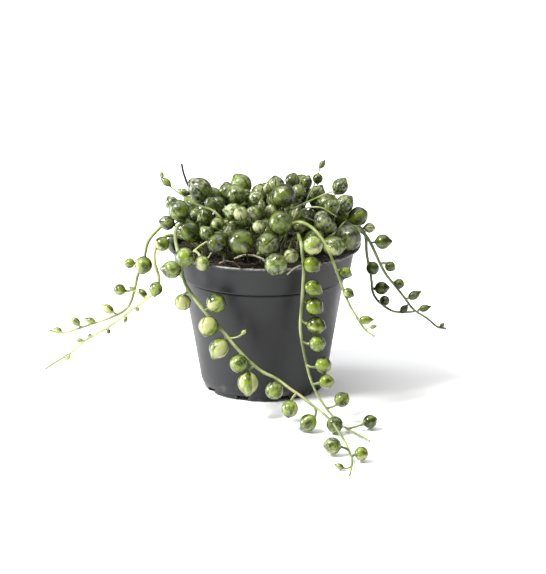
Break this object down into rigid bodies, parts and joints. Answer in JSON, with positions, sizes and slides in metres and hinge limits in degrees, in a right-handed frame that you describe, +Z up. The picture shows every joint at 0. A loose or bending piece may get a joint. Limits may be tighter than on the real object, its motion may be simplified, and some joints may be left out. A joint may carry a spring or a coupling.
{
  "type": "potted string of pearls",
  "caption": "Small trailing succulent with bead-shaped leaves on thin stems, mounded and hanging over the rim of a thin plastic nursery pot.",
  "frame": {"origin": "on the pot's axis in the plane of its feet, at the middle of the underside's centre pad", "axes": "+Z up along the pot's axis; -Y toward the side where the two longest strands trail onto the surface; +X to the right when looking along +Y"},
  "size_m": [0.136, 0.1291, 0.0758],
  "materials": {
    "pot_plastic": "satin",
    "soil": "matte",
    "dry_stem": "matte",
    "leaf": "satin"
  },
  "bodies": {
    "root": {"back_right_strand": "leaf", "back_sprig_1": "leaf", "back_sprig_10": "leaf", "back_sprig_2": "leaf", "back_sprig_3": "leaf", "back_sprig_4": "leaf", "back_sprig_5": "leaf", "back_sprig_6": "leaf", "back_sprig_7": "leaf", "back_sprig_8": "leaf", "back_sprig_9": "leaf", "dry_twig": "dry_stem", "front_centre_sprig": "leaf", "front_left_sprig": "leaf", "front_left_strand": "leaf", "front_right_strand": "leaf", "front_sprig": "leaf", "inner_sprig_1": "leaf", "inner_sprig_10": "leaf", "inner_sprig_2": "leaf", "inner_sprig_3": "leaf", "inner_sprig_4": "leaf", "inner_sprig_5": "leaf", "inner_sprig_6": "leaf", "inner_sprig_7": "leaf", "inner_sprig_8": "leaf", "inner_sprig_9": "leaf", "large_centre_sprig": "leaf", "large_right_sprig": "leaf", "large_top_sprig": "leaf", "left_edge_sprig": "leaf", "left_inner_sprig": "leaf", "left_rim_shoot": "leaf", "left_sprig": "leaf", "lower_left_strand": "leaf", "nursery_pot": "pot_plastic", "outer_right_strand": "leaf", "pale_left_sprig": "leaf", "pale_top_sprig": "leaf", "potting_soil": "soil", "right_edge_sprig": "leaf", "right_front_sprig": "leaf", "right_low_sprig": "leaf", "right_pale_sprig": "leaf", "right_runner": "leaf", "right_top_sprig": "leaf", "rim_sprig": "leaf", "slim_right_strand": "leaf", "striped_sprig": "leaf", "tall_bud_sprig": "leaf", "top_left_small_sprig": "leaf", "top_left_sprig": "leaf", "top_right_runner": "leaf", "top_right_sprig": "leaf", "top_sprig": "leaf", "upper_left_shoot": "leaf", "upper_left_strand": "leaf", "upright_bud_sprig": "leaf"}
  },
  "joints": []
}
